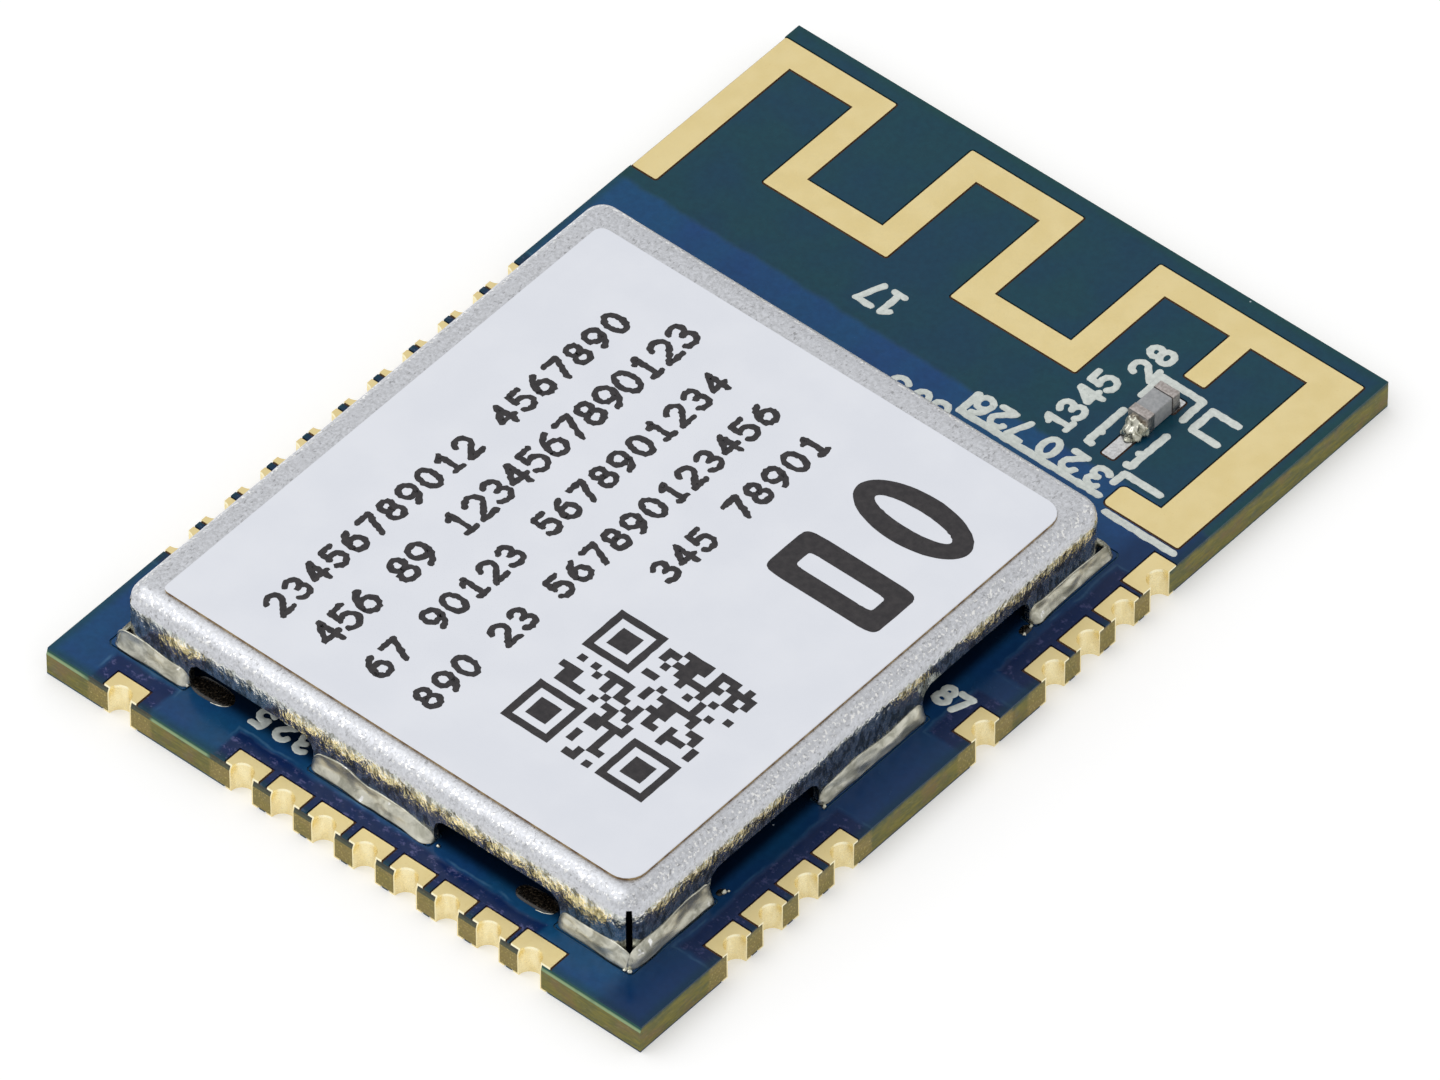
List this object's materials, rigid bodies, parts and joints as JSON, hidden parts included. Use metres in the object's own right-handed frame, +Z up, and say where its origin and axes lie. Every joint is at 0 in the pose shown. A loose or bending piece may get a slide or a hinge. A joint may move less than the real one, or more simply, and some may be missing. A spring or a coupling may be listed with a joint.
{
  "type": "castellated wireless module",
  "caption": "Small castellated radio board with a soldered shield can, a paper label on its lid and a meander aerial etched along one end.",
  "frame": {"origin": "centre of the board's footprint, on the plane it is soldered down on", "axes": "+Y along the board towards the aerial end, +Z up out of the can's lid, +X to the right when looking at the aerial end from the terminals"},
  "size_m": [0.0148, 0.0218, 0.0022],
  "materials": {
    "laminate": "cut glass-fibre laminate, dull olive brown",
    "solder_mask": "thin glossy dark blue coating",
    "gold_plate": "pale gold plating, satin",
    "tin_plate": "dull tinned copper",
    "shield_sheet": "matte silver-grey sheet",
    "solder": "bright uneven solder",
    "label_paper": "matte off-white label",
    "end_metal": "dull tinned ends",
    "chip_plastic": "matte black moulded plastic",
    "feed_ceramic": "grey ceramic",
    "capacitor_ceramic": "tan ceramic",
    "resistor_ceramic": "black glazed ceramic",
    "crystal_ceramic": "brown ceramic",
    "crystal_metal": "plated lid",
    "coil_ferrite": "dark grey ferrite"
  },
  "bodies": {
    "root": {"circuit_board": "laminate", "top_mask": "solder_mask", "bottom_mask": "solder_mask", "aerial_track": "gold_plate", "feed_lands": "tin_plate", "ground_paddle": "gold_plate", "shield_lands": "tin_plate", "shield_cover": "shield_sheet", "label": "label_paper", "feed_chip": "feed_ceramic", "feed_chip_ends": "end_metal", "feed_chip_solder": "solder", "radio_chip": "chip_plastic", "radio_chip_leads": "end_metal", "crystal_base": "crystal_ceramic", "crystal_lid": "crystal_metal", "power_coil": "coil_ferrite", "power_coil_ends": "end_metal", "capacitors": "capacitor_ceramic", "capacitor_ends": "end_metal", "resistors": "resistor_ceramic", "resistor_ends": "end_metal", "shield_solder_front": "solder", "shield_solder_right": "solder", "shield_solder_back": "solder", "shield_solder_left": "solder", "terminal_01": "gold_plate", "terminal_02": "gold_plate", "terminal_03": "gold_plate", "terminal_04": "gold_plate", "terminal_05": "gold_plate", "terminal_06": "gold_plate", "terminal_07": "gold_plate", "terminal_08": "gold_plate", "terminal_09": "gold_plate", "terminal_10": "gold_plate", "terminal_11": "gold_plate", "terminal_12": "gold_plate", "terminal_13": "gold_plate", "terminal_14": "gold_plate", "terminal_15": "gold_plate", "terminal_16": "gold_plate", "terminal_17": "gold_plate", "terminal_18": "gold_plate", "terminal_19": "gold_plate", "terminal_20": "gold_plate", "terminal_21": "gold_plate", "terminal_22": "gold_plate", "terminal_23": "gold_plate", "terminal_24": "gold_plate", "terminal_25": "gold_plate", "terminal_26": "gold_plate", "terminal_27": "gold_plate", "terminal_28": "gold_plate"}
  },
  "joints": []
}
